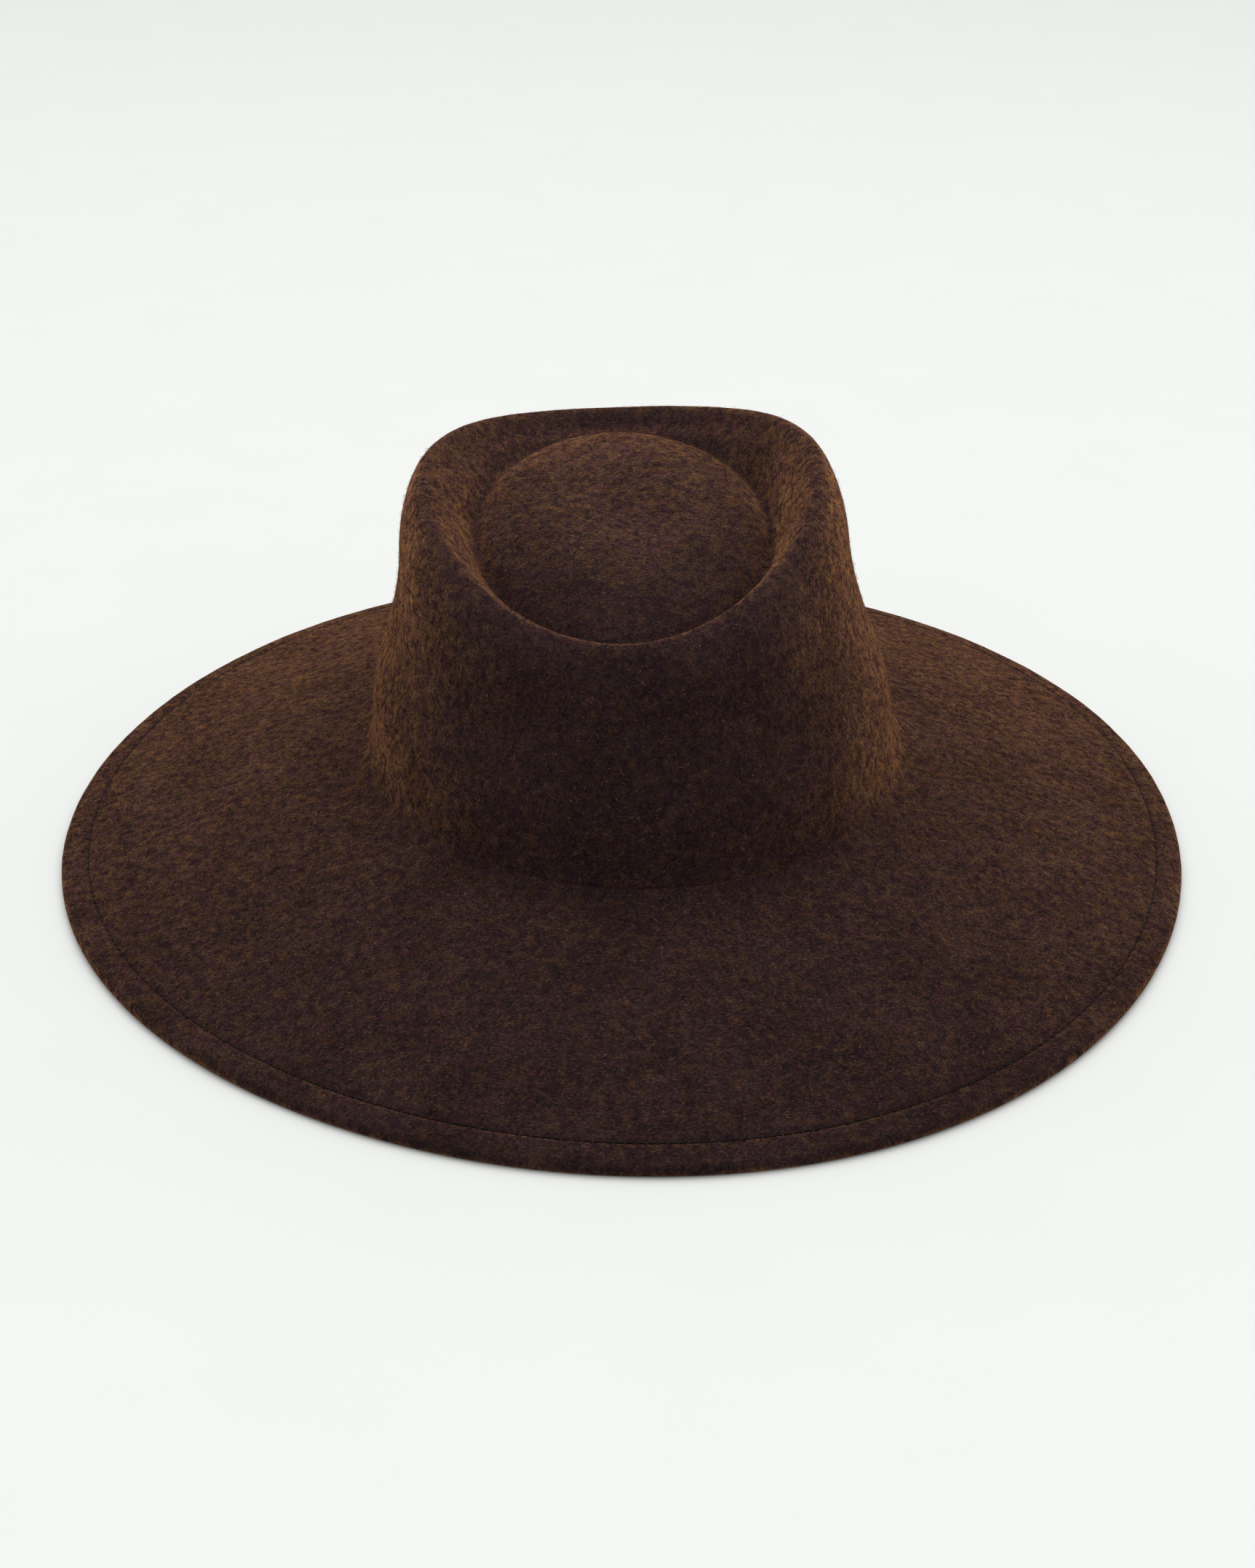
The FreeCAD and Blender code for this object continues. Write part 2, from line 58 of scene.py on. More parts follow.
# %% Sizes of the hat
BRIM_HALF_WIDTH, BRIM_HALF_LENGTH, BRIM_HEIGHT = 183.7, 199.6, 32.7
BRIM_WAVES = ((2, 0.0, 0.0029), (3, -0.0044, 0.0009), (4, 0.0, 0.0049))
BRIM_CENTRE = (0.79, 0.22)
FELT, STITCH_INSET, FOLD_WIDTH, REST_FLAT = 2.2, 8.6, 11.5, 0.2
CROWN_HALF_WIDTH, CROWN_HALF_LENGTH, CROWN_RISE = 86.5, 105.8, 84.5
CROWN_HEIGHT = BRIM_HEIGHT + CROWN_RISE
CROWN_RIGHT_SHIFT, CROWN_BACK_SHIFT, CREST_FRONT_SHIFT, LEAN = 3.0, 1.6, 1.4, 0.059
FOOT_INSET, FOOT_RISE, FOOT_REACH, FOOT_SOFTEN = 1.0, 1.3, 1.2, 0.29
WALL_SHAPE = ((3.3, 0.238), (9.5, 0.460), (14.9, 0.714), (17.4, 0.889))
WALL_STATIONS = [(inset, BRIM_HEIGHT + share * CROWN_RISE) for inset, share in WALL_SHAPE]
CREST_INSET, CREST_INNER_INSET, CREST_INNER_HEIGHT = 24.8, 29.8, CROWN_HEIGHT - 4.2
PIT_INSET, PIT_HEIGHT, DOME_HEIGHT = 39.5, CROWN_HEIGHT - 15.9, CROWN_HEIGHT - 4.4
PIT_FRONT_RISE, PIT_SIDE_RISE = 11.5, 3.5
CREST_FRONT_RISE, CREST_RIGHT_RISE, CREST_SIDE_RISE = 7.1, 2.6, 8.0
FOOT_FILLET, FOOT_FILLET_FRONT = 4.2, 1.6
DOME_FULLNESS, DOME_CAP = 4.2, 0.12
NOSE_CENTRE = FELT - REST_FLAT
BRIM_SLOPE = math.atan2(BRIM_HEIGHT - NOSE_CENTRE - FELT, BRIM_HALF_WIDTH - FELT - CROWN_HALF_WIDTH)
START_INSET = FELT - FELT * math.sin(BRIM_SLOPE)
FOLD_DROP, FOLD_SHIFT = 2 * FELT / math.cos(BRIM_SLOPE), 2 * FELT * math.sin(BRIM_SLOPE)
STITCHES = 384
COLUMNS = 2 * STITCHES
ANGLES = 2 * math.pi * np.arange(COLUMNS) / COLUMNS
print("brim slopes down %.1f degrees, one stitch is %.2f mm" % (
    math.degrees(BRIM_SLOPE), 2 * math.pi * (BRIM_HALF_LENGTH - STITCH_INSET) / STITCHES))

# %% [markdown]
# ## The lines of the hat
#
# Every level line of the hat is close to an oval. The crown is one family of ovals that get smaller with
# height and swell with the wavy crest. Here each oval is worked out at 768 points, and a smooth curve is
# run through the ovals from the middle of the dome to the brim edge, as a hatter's block does.

# %% Ovals of the crown, the pit, the dome and the brim
def point(x, y, z):
    return np.stack(np.broadcast_arrays(x, y, z), -1)


def crest_rise(a):
    return CREST_FRONT_RISE * np.sin(a) + CREST_RIGHT_RISE * np.cos(a) + CREST_SIDE_RISE * np.cos(2 * a)


def share_of_crown(height):
    return (height - BRIM_HEIGHT) / (CROWN_HEIGHT - BRIM_HEIGHT)


def crown_middle(height):
    return CROWN_RIGHT_SHIFT - LEAN * (height - BRIM_HEIGHT)


def crown_oval(inset, height, share, a):
    middle = -CROWN_BACK_SHIFT + min(share, 1.0) * (CROWN_BACK_SHIFT + CREST_FRONT_SHIFT)
    return point(crown_middle(height) + (CROWN_HALF_WIDTH - inset) * np.cos(a),
                 middle + (CROWN_HALF_LENGTH - inset) * np.sin(a), height)


def crown_point(inset, height, a):
    share = share_of_crown(height)
    if np.ndim(share):
        share = float(np.mean(share))
    return crown_oval(inset, height + share_of_crown(height) * crest_rise(a), share, a)


def foot_fillet(a):
    return FOOT_FILLET + FOOT_FILLET_FRONT * np.sin(a)


def pit_height(a):
    return PIT_HEIGHT + PIT_FRONT_RISE * np.sin(a) + PIT_SIDE_RISE * np.cos(2 * a)


def pit_point(a):
    return crown_oval(PIT_INSET, pit_height(a), 1.0, a)


def pit_wall_point(a):
    top = crown_point(CREST_INNER_INSET, CREST_INNER_HEIGHT, a)
    foot = pit_point(a)
    middle = 0.45 * top + 0.55 * foot
    middle[..., 2] = (top[..., 2] + foot[..., 2]) / 2
    return middle


def dome_point(reach, a):
    half_width = CROWN_HALF_WIDTH - PIT_INSET
    half_length = CROWN_HALF_LENGTH - PIT_INSET
    depth = half_length * reach * np.sin(a)
    drop = (max(reach - DOME_CAP, 0) / (1 - DOME_CAP)) ** DOME_FULLNESS
    height = (1 - drop) * (DOME_HEIGHT + PIT_FRONT_RISE / half_length * depth) + drop * pit_height(a)
    return point(crown_middle(height) + half_width * reach * np.cos(a), CREST_FRONT_SHIFT + depth, height)


def brim_oval(inset, height, a):
    reach = 1 + sum(c * np.cos(n * a) + s * np.sin(n * a) for n, c, s in BRIM_WAVES)
    return point(BRIM_CENTRE[0] + (BRIM_HALF_WIDTH * reach - inset) * np.cos(a),
                 BRIM_CENTRE[1] + (BRIM_HALF_LENGTH * reach - inset) * np.sin(a), height)


def nose_point(turn, a):
    return brim_oval(FELT - FELT * math.cos(turn), NOSE_CENTRE + FELT * math.sin(turn), a)


def brim_point(inset, a, lift=0.0):
    start = nose_point(math.pi / 2 - BRIM_SLOPE, a)
    end = crown_point(0.0, BRIM_HEIGHT, a)
    share = (inset - START_INSET) / (BRIM_HALF_WIDTH - CROWN_HALF_WIDTH - START_INSET)
    found = start + (end - start) * np.reshape(share, (-1, 1) if np.ndim(share) else ())
    found[..., 2] += lift
    return found


CREASE_INSET = BRIM_HALF_WIDTH - CROWN_HALF_WIDTH
print("crease to brim edge %.1f mm, crest %.0f to %.0f mm high" % (
    CREASE_INSET, CROWN_HEIGHT + crest_rise(ANGLES).min(), CROWN_HEIGHT + crest_rise(ANGLES).max()))


# %% [markdown]
# ## A smooth curve through the ovals
#
# The felt bends evenly from one oval to the next, so the way across is a cubic spline whose bending is
# free at its two ends. It is walked in steps of about two millimetres, and of 0.6 mm at the crease.

# %% Spline through rings, and the felt's outer face
def spline_rows(rings, step, fine, fine_step):
    """Rows of points on a natural cubic spline across the rings, step mm apart, or less in the fine gaps."""
    knots = np.stack(rings)
    gaps = np.linalg.norm(np.diff(knots, axis=0), axis=-1).mean(1)
    at = np.concatenate([[0.0], np.cumsum(gaps)])
    count = len(at)
    system = np.zeros((count, count))
    right = np.zeros(knots.shape)
    system[0, 0] = system[-1, -1] = 1.0
    for k in range(1, count - 1):
        system[k, k - 1:k + 2] = gaps[k - 1], 2 * (gaps[k - 1] + gaps[k]), gaps[k]
        right[k] = 6 * ((knots[k + 1] - knots[k]) / gaps[k] - (knots[k] - knots[k - 1]) / gaps[k - 1])
    bend = np.linalg.solve(system, right.reshape(count, -1)).reshape(knots.shape)
    rows, first = [], []
    for k, gap in enumerate(gaps):
        first.append(len(rows))
        parts = max(1, round(gap / (fine_step if k in fine else step)))
        for t in np.arange(parts) / parts:
            a, b = 1 - t, t
            rows.append(a * knots[k] + b * knots[k + 1] + gap ** 2 / 6 * (
                (a ** 3 - a) * bend[k] + (b ** 3 - b) * bend[k + 1]))
    first.append(len(rows))
    rows.append(knots[-1])
    return np.stack(rows), first


def crown_rings():
    """From the middle of the dome to the brim, as many ovals as the shape needs."""
    rings = [dome_point(reach, ANGLES) for reach in (0.03, DOME_CAP, 0.35, 0.6, 0.8, 0.92)]
    rings += [pit_point(ANGLES), pit_wall_point(ANGLES),
              crown_point(CREST_INNER_INSET, CREST_INNER_HEIGHT, ANGLES),
              crown_point(CREST_INSET, CROWN_HEIGHT, ANGLES)]
    rings += [crown_point(inset, height, ANGLES) for inset, height in reversed(WALL_STATIONS)]
    rings.append(crown_point(FOOT_INSET, BRIM_HEIGHT + FOOT_RISE * foot_fillet(ANGLES), ANGLES))
    soften = FOOT_SOFTEN * foot_fillet(ANGLES)
    rings.append(brim_point(CREASE_INSET - soften, ANGLES, FOOT_RISE * soften))
    rings.append(brim_point(CREASE_INSET - FOOT_REACH * foot_fillet(ANGLES), ANGLES))
    rings += [brim_point(CREASE_INSET * (1 - share), ANGLES) for share in (0.2, 0.5, 0.8)]
    return rings


def normals(rows):
    """Direction out of the felt's outer face at each point of the rows."""
    along = np.roll(rows, -1, 1) - np.roll(rows, 1, 1)
    across = np.gradient(rows, axis=0)
    found = np.cross(along, across)
    return -found / np.linalg.norm(found, axis=-1, keepdims=True)


CREASE_RING = 14
plain_rows, marks = spline_rows(crown_rings() + [brim_point(FOLD_WIDTH + 1.0, ANGLES),
                                                brim_point(FOLD_WIDTH, ANGLES)], 2.1,
                                (CREASE_RING - 1, CREASE_RING), 0.62)
plain_normals = normals(plain_rows)
print("outer face has", len(plain_rows), "rows; the crest normal points up",
      round(float(plain_normals[marks[9]][:, 2].mean()), 2))


# %% [markdown]
# ## The felt: rows of points
#
# The felt is one closed skin. It starts in the middle of the dome, goes over the crest, down the wall and
# out along the brim, round the turned-under edge to the raw edge of the fold, and back along the inside
# to the middle of the dome. Each stitch pulls a small dimple into the felt, and the ironed felt is never
# quite even, so the rows are moved in and out by about a tenth of a millimetre.

# %% Brim edge, fold and inside of the felt
def edge_rows():
    """From the groove of the stitches, round the nose, to the raw edge of the fold."""
    hole = np.arange(COLUMNS) % 2 == 0
    pulled = 0.72 - 0.28 * np.sin(ANGLES)
    rows = []
    for inset, depth in ((11.4, 0.0), (10.5, 0.05), (9.9, 0.16), (9.3, 0.38), (8.9, 0.55), (8.6, 0.62),
                         (8.3, 0.55), (7.9, 0.38), (7.3, 0.16), (6.7, 0.05), (5.2, 0.0), (3.7, 0.0)):
        sink = depth * pulled * np.where(hole, 1.25 if 8.2 < inset < 9.0 else 1.0, 0.75)
        rows.append(brim_point(inset, ANGLES, 0.0) - point(0 * sink, 0 * sink, sink))
    first, last = math.pi / 2 - BRIM_SLOPE, -math.pi / 2 + math.acos(1 - REST_FLAT / FELT)
    rows += [nose_point(first + (last - first) * k / 10, ANGLES) for k in range(11)]
    dip = FELT * math.cos(BRIM_SLOPE) - NOSE_CENTRE
    rest = FELT + FELT * math.sin(BRIM_SLOPE) + dip / math.tan(BRIM_SLOPE)
    rows.append(brim_oval(rest, 0.0, ANGLES))
    for inset, dimple in ((6.2, 0.0), (7.7, 0.1), (8.3, 0.35), (8.6, 0.4), (8.9, 0.35), (9.5, 0.1),
                          (10.6, 0.0), (11.1, 0.0)):
        lift = dimple * np.where(hole, 1.2, 0.7)
        rows.append(brim_point(inset + FOLD_SHIFT, ANGLES, -FOLD_DROP) + point(0 * lift, 0 * lift, lift))
    for inset, layers in ((11.4, 1.93), (11.5, 1.75), (11.55, 1.4), (11.5, 1.2), (11.3, 1.12),
                          (10.2, 1.10), (10.2, 1.02), (11.4, 1.0), (12.6, 1.0)):
        rows.append(brim_point(inset + layers * FOLD_SHIFT / 2, ANGLES, -layers * FOLD_DROP / 2))
    return rows


def keep(rows, targets, widest):
    """Each row with the number of columns it skips: a power of two, so that rows can be joined."""
    kept, stride = [], None
    for row, target in zip(rows, targets):
        spacing = np.linalg.norm(row - np.roll(row, 1, 0), axis=1).mean()
        wanted = 1
        while wanted < widest and 2 * wanted * spacing <= target:
            wanted *= 2
        stride = wanted if stride is None else min(max(wanted, stride // 2), stride * 2)
        kept.append((row, stride))
    return kept


def ironed_crease(rows, out):
    """A sharp line at the back, 0.6 mm deep, where the iron's edge pressed the felt."""
    from_crease = np.cumsum(np.linalg.norm(np.diff(rows, axis=0, prepend=rows[:1]), axis=-1), axis=0)
    from_crease -= from_crease[marks[CREASE_RING]]
    at_back = np.clip((-np.sin(ANGLES) - 0.70) / 0.20, 0, 1)
    depth = 0.60 * at_back ** 2 * (3 - 2 * at_back) * np.exp(-(from_crease / 0.45) ** 2)
    return rows - depth[..., None] * out


def thinned(rows, least):
    """Drops rows that lie closer than least mm to the one before, and keeps the first and the last."""
    kept = [rows[0]]
    for row in rows[1:-1]:
        if np.linalg.norm(row - kept[-1], axis=-1).mean() > least:
            kept.append(row)
    return kept + [rows[-1]]


outer = keep(list(ironed_crease(plain_rows, plain_normals)[:-2]), [2.6] * len(plain_rows), 64)
edge = [(row, 1) for row in edge_rows()]
inner_face = (plain_rows - FELT * plain_normals)[::-1]
inner = keep(thinned(inner_face[2:], 3.4), [3.4] * len(inner_face), 64)
print("rows: outer", len(outer), "edge", len(edge), "inside", len(inner),
      "strides", outer[0][1], outer[-1][1], inner[0][1], inner[-1][1])

# %% [markdown]
# ## The felt: faces between the rows
#
# Two rows with as many points are joined by four-sided faces. Where one row has half as many, each of its
# steps is joined by three triangles, and the middle of the dome is closed by one ring of triangles.

# %% The felt as one mesh
FELT_WAVES = ((0.14, 23.0), (0.07, 6.0), (0.035, 1.9))


def bumpy(rows_and_strides):
    """Ironed felt: slow waves of a tenth of a millimetre and a fine grain."""
    moved = []
    for row, stride in rows_and_strides:
        picked = row[::stride].copy()
        for line in picked:
            at = Vector(line)
            wave = sum(size * noise.noise(at / length) for size, length in FELT_WAVES)
            line[2] = max(line[2] + wave, 0.0)
            line[:2] *= 1 + wave / 400
        moved.append(picked)
    return moved


def closed_rows(rows):
    """Points and faces of a closed skin through rows of points, with a fan of triangles at both ends."""
    starts = np.cumsum([0] + [len(row) for row in rows])
    faces = []
    for k, (one, other) in enumerate(zip(rows, rows[1:])):
        n, m, p, q = len(one), len(other), int(starts[k]), int(starts[k + 1])
        if n == m:
            faces += [(p + i, q + i, q + (i + 1) % n, p + (i + 1) % n) for i in range(n)]
        elif m == 2 * n:
            for i in range(n):
                a, b = p + i, p + (i + 1) % n
                c, d, e = q + 2 * i, q + 2 * i + 1, q + (2 * i + 2) % m
                faces += [(a, c, d), (a, d, b), (b, d, e)]
        else:
            for i in range(m):
                a, b = q + i, q + (i + 1) % m
                c, d, e = p + 2 * i, p + 2 * i + 1, p + (2 * i + 2) % n
                faces += [(a, d, c), (a, b, d), (b, e, d)]
    points = np.concatenate(rows + [rows[0].mean(0)[None], rows[-1].mean(0)[None]])
    top, bottom = len(points) - 2, len(points) - 1
    n, m, q = len(rows[0]), len(rows[-1]), int(starts[len(rows) - 1])
    faces += [(top, i, (i + 1) % n) for i in range(n)]
    faces += [(bottom, q + (i + 1) % m, q + i) for i in range(m)]
    return points, faces


def piece(name, points, faces, body="hat", smooth=True):
    """A mesh object from points in millimetres, riding on its body."""
    mesh = bpy.data.meshes.new(name)
    mesh.from_pydata((np.asarray(points) * MM).tolist(), [], faces)
    mesh.validate()
    mesh.polygons.foreach_set("use_smooth", [smooth] * len(mesh.polygons))
    made = bpy.data.objects.new(name, mesh)
    bpy.context.scene.collection.objects.link(made)
    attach(made, body)
    return made


felt_points, felt_faces = closed_rows(bumpy(outer + edge + inner))
felt = piece("wool_felt_hat", felt_points, felt_faces)
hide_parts("felt_body")
print("felt: %d points, %d faces" % (len(felt_points), len(felt_faces)))


# %% [markdown]
# ## Helpers for finishes
#
# Colours are written the way a paint chart gives them, as sRGB hex, and turned into the linear numbers
# that light is added up in. A node is added with its settings, and its inputs are either constants or
# another node's output. The other helpers add the kinds of node that every finish needs.

# %% Colour and node helpers
def colour(text):
    """sRGB hex to a linear colour with alpha."""
    parts = [int(text[k:k + 2], 16) / 255 for k in (0, 2, 4)]
    return [c / 12.92 if c <= 0.04045 else ((c + 0.055) / 1.055) ** 2.4 for c in parts] + [1.0]


def add(tree, kind, inputs=None, **settings):
    """A shader node. inputs maps a socket's name or number to a constant or to another node's output."""
    made = tree.nodes.new("ShaderNode" + kind)
    for key, value in settings.items():
        setattr(made, key, value)
    for socket, value in (inputs or {}).items():
        if isinstance(value, bpy.types.NodeSocket):
            tree.links.new(value, made.inputs[socket])
        else:
            made.inputs[socket].default_value = value
    return made


def stops(ramp, *pairs):
    """Sets a colour ramp's stops from (position, hex) pairs and returns its colour output."""
    elements = ramp.color_ramp.elements
    while len(elements) < len(pairs):
        elements.new(0.5)
    for element, (position, text) in zip(elements, pairs):
        element.position = position
        element.color = colour(text)
    return ramp.outputs[0]


def material(name):
    """A new material with its principled shader wired to the output."""
    made = bpy.data.materials.new(name)
    made.use_nodes = True
    made.node_tree.nodes.clear()
    shader = add(made.node_tree, "BsdfPrincipled")
    add(made.node_tree, "OutputMaterial", {"Surface": shader.outputs[0]})
    return made, made.node_tree, shader


def calc(tree, operation, *values):
    """One step of arithmetic on numbers and outputs."""
    return add(tree, "Math", dict(enumerate(values)), operation=operation).outputs[0]


def spread(tree, value, low, high, start, end, **settings):
    """Turns the range low to high into the range start to end, and keeps what lies beyond at its ends."""
    return add(tree, "MapRange", {"Value": value, 1: low, 2: high, 3: start, 4: end}, **settings).outputs[0]


def scaled(tree, vector, factor):
    return add(tree, "VectorMath", {0: vector, "Scale": factor}, operation="SCALE").outputs[0]


def millimetres(tree):
    """Object coordinates in millimetres, so that every pattern's size is a real one."""
    return scaled(tree, add(tree, "TexCoord").outputs["Object"], 1000.0)


def finish_with(tree, shader, shade, height, strength, depth, **values):
    """Colour, bump in metres of depth, and constants on the shader's own sockets."""
    bump = add(tree, "Bump", {"Height": height, "Strength": strength, "Distance": depth})
    tree.links.new(shade, shader.inputs["Base Color"])
    tree.links.new(bump.outputs[0], shader.inputs["Normal"])
    for socket, value in values.items():
        shader.inputs[socket.replace("_", " ")].default_value = value


print("brown felt in linear light:", [round(c, 4) for c in colour("33231c")[:3]])

# %% [markdown]
# ## Wool felt, melange brown
#
# The wool is dyed in several browns and carded together before it is felted, so the colour is a mix of
# blotches one to three millimetres across: near black, purplish, olive and rust. Short pale fibres lie on
# the face in all directions. Felt has no gloss, but its nap catches light at a flat angle and looks
# warmer and lighter there, which the shader's sheen layer does. Colour and nap are both raised by up to
# a fifth towards the top of the crown, and lowered a little at its foot and on the brim, as painted light
# for the stronger light from above on the crown's top.

# %% Wool felt material
def fibres(tree, place, turn, length, width, share):
    """Short lying fibres: long thin cells in one direction, of which only a share is seen."""
    turned = add(tree, "Mapping", {"Vector": place, "Rotation": turn,
                                   "Scale": (1 / length, 1 / width, 1 / width)})
    cells = add(tree, "TexVoronoi", {"Vector": turned.outputs[0], "Scale": 1.0, "Randomness": 1.0})
    core = spread(tree, cells.outputs["Distance"], 0.12, 0.34, 1.0, 0.0)
    chosen = add(tree, "SeparateColor", {0: cells.outputs["Color"]})
    return calc(tree, "MULTIPLY", core, calc(tree, "LESS_THAN", chosen.outputs[0], share))


def blend_colour(tree, factor, one, other):
    mixed = add(tree, "Mix", {0: factor, 6: one, 7: other}, data_type="RGBA")
    return mixed.outputs[2]


def wool_felt():
    made, tree, shader = material("wool_felt_melange_brown")
    place = millimetres(tree)
    slow = add(tree, "TexNoise", {"Vector": place, "Scale": 0.045, "Detail": 3.0, "Roughness": 0.55})
    blotch = add(tree, "TexNoise", {"Vector": place, "Scale": 0.36, "Detail": 3.0, "Roughness": 0.6,
                                    "Distortion": 0.4})
    clump = add(tree, "TexNoise", {"Vector": place, "Scale": 1.15, "Detail": 3.0, "Roughness": 0.65})
    carded = add(tree, "Mix", {0: 0.55, 2: blotch.outputs["Fac"], 3: clump.outputs["Fac"]}).outputs[0]
    tone = stops(add(tree, "ValToRGB", {0: carded}),
                 (0.34, "181112"), (0.43, "211719"), (0.50, "281c1e"), (0.57, "312322"), (0.68, "43302a"))
    moved = add(tree, "VectorMath", {0: place, 1: (57.0, 31.0, 83.0)}, operation="ADD").outputs[0]
    hue = add(tree, "TexNoise", {"Vector": moved, "Scale": 0.3, "Detail": 4.0, "Roughness": 0.6})
    tint = stops(add(tree, "ValToRGB", {0: hue.outputs["Fac"]}),
                 (0.38, "331c25"), (0.47, "251c21"), (0.55, "2b2422"), (0.64, "3c271e"))
    wool = blend_colour(tree, 0.40, tone, tint)
    layers = [fibres(tree, place, turn, length, 0.26, share) for turn, length, share in (
        ((0.0, 0.0, 0.1), 2.2, 0.34), ((0.0, 0.2, 0.9), 1.8, 0.22),
        ((0.2, 0.0, -0.8), 1.8, 0.22), ((0.0, 1.35, 0.3), 2.0, 0.28))]
    pale = layers[0]
    for layer in layers[1:]:
        pale = calc(tree, "MAXIMUM", pale, layer)
    wool = blend_colour(tree, calc(tree, "MULTIPLY", pale, 0.20), wool, colour("8a6a4e"))
    pores = add(tree, "TexVoronoi", {"Vector": place, "Scale": 0.85, "Randomness": 1.0})
    pore = spread(tree, pores.outputs["Distance"], 0.10, 0.34, 0.45, 1.0)
    height = add(tree, "SeparateXYZ", {0: place}).outputs[2]
    # Painted light: colour and sheen are raised with height up to the crown's top and lowered below 76 mm,
    # standing in for the stronger light from above.
    painted_top_light = spread(tree, height, 76.0, 118.0, 0.94, 1.20, interpolation_type="SMOOTHSTEP")
    level = calc(tree, "MULTIPLY", spread(tree, slow.outputs["Fac"], 0.35, 0.65, 0.88, 1.14), pore)
    level = calc(tree, "MULTIPLY", level, painted_top_light)
    rise = calc(tree, "MULTIPLY_ADD", clump.outputs["Fac"], 1.3, blotch.outputs["Fac"])
    rise = calc(tree, "MULTIPLY_ADD", pale, 0.25, rise)
    rise = calc(tree, "MULTIPLY_ADD", pore, 0.35, rise)
    nap = calc(tree, "MULTIPLY_ADD", pale, 0.30, spread(tree, carded, 0.41, 0.62, 0.04, 1.45))
    nap_colour = stops(add(tree, "ValToRGB", {0: hue.outputs["Fac"]}),
                       (0.38, "b4745e"), (0.47, "bb8058"), (0.55, "c8905c"), (0.64, "d8924e"))
    finish_with(tree, shader, scaled(tree, wool, level), rise, 0.6, 0.00045,
                Roughness=0.92, Specular_IOR_Level=0.0, Sheen_Roughness=0.40)
    tree.links.new(calc(tree, "MULTIPLY", nap, level), shader.inputs["Sheen Weight"])
    tree.links.new(nap_colour, shader.inputs["Sheen Tint"])
    return made


felt_finish = wool_felt()
felt.data.materials.append(felt_finish)
print("wool felt shader nodes:", len(felt_finish.node_tree.nodes))


# %% [markdown]
# ## Loose fibres
#
# Some wool ends always stand up from the face, and they soften the hat's outline. Each one is a thin
# bent spindle, one or two millimetres long, that starts in the felt and leans over it. Their places are
# spread evenly over the outer face.

# %% Loose fibres on the face
def loose_fibres(count):
    rng = np.random.default_rng(7)
    rows = plain_rows[marks[1]:]
    out = plain_normals[marks[1]:]
    across = np.linalg.norm(np.diff(rows, axis=0), axis=-1)
    along = np.linalg.norm(np.roll(rows, -1, 1) - rows, axis=-1)[:-1]
    area = (across * along).ravel()
    cell = rng.choice(area.size, count, p=area / area.sum())
    i, j = cell // COLUMNS, cell % COLUMNS
    spot = rows[i, j] + rng.random((count, 1)) * (rows[i + 1, j] - rows[i, j])
    spot += rng.random((count, 1)) * (rows[i, (j + 1) % COLUMNS] - rows[i, j])
    up = out[i, j]
    side = np.cross(up, rng.normal(size=(count, 3)))
    side /= np.linalg.norm(side, axis=1, keepdims=True)
    sway = np.cross(up, side)
    length = rng.uniform(0.8, 2.2, (count, 1))
    rise = rng.uniform(0.06, 0.40, (count, 1)) * length
    middle = spot + side * length * 0.5 + up * rise + sway * rng.normal(0.0, 0.12, (count, 1)) * length
    tip = spot + side * length + up * rise * rng.uniform(0.2, 1.4, (count, 1))
    radius = rng.uniform(0.025, 0.045, (count, 1))
    ring = [middle + radius * (math.cos(w) * sway + math.sin(w) * up) for w in (0.5, 2.6, 4.7)]
    points = np.stack([spot - 0.15 * up, *ring, tip], 1).reshape(-1, 3)
    points[:, 2] = np.maximum(points[:, 2], 0.02)
    faces = [(5 * k + a, 5 * k + b, 5 * k + c) for k in range(count)
             for a, b, c in ((0, 2, 1), (0, 3, 2), (0, 1, 3), (4, 1, 2), (4, 2, 3), (4, 3, 1))]
    return points, faces


def fibre_wool():
    """Single wool fibres, each dark brown, rust or pale, and a little lighter at a flat angle."""
    made, tree, shader = material("wool_fibres_loose")
    place = millimetres(tree)
    lot = add(tree, "TexNoise", {"Vector": place, "Scale": 0.9, "Detail": 1.0})
    shade = stops(add(tree, "ValToRGB", {0: lot.outputs["Fac"]}),
                  (0.40, "2a1d1a"), (0.50, "54372a"), (0.60, "9a7456"))
    tree.links.new(shade, shader.inputs["Base Color"])
    shader.inputs["Roughness"].default_value = 0.8
    shader.inputs["Specular IOR Level"].default_value = 0.1
    shader.inputs["Sheen Weight"].default_value = 0.25
    shader.inputs["Sheen Tint"].default_value = colour("c98a5e")
    return made


fibre_points, fibre_faces = loose_fibres(26000)
nap = piece("felt_loose_fibres", fibre_points, fibre_faces, smooth=False)
nap.data.materials.append(fibre_wool())
print("loose fibres:", len(fibre_faces), "faces")


# %% [markdown]
# ## Threads
#
# Each row is sewn by machine with a dark polyester thread, about 0.5 mm thick with its twist. A stitch
# comes out of one hole, lies on the felt, is pulled down a little by the next one, and goes back in. So
# each stitch is a short arched tube whose two ends are below the surface.

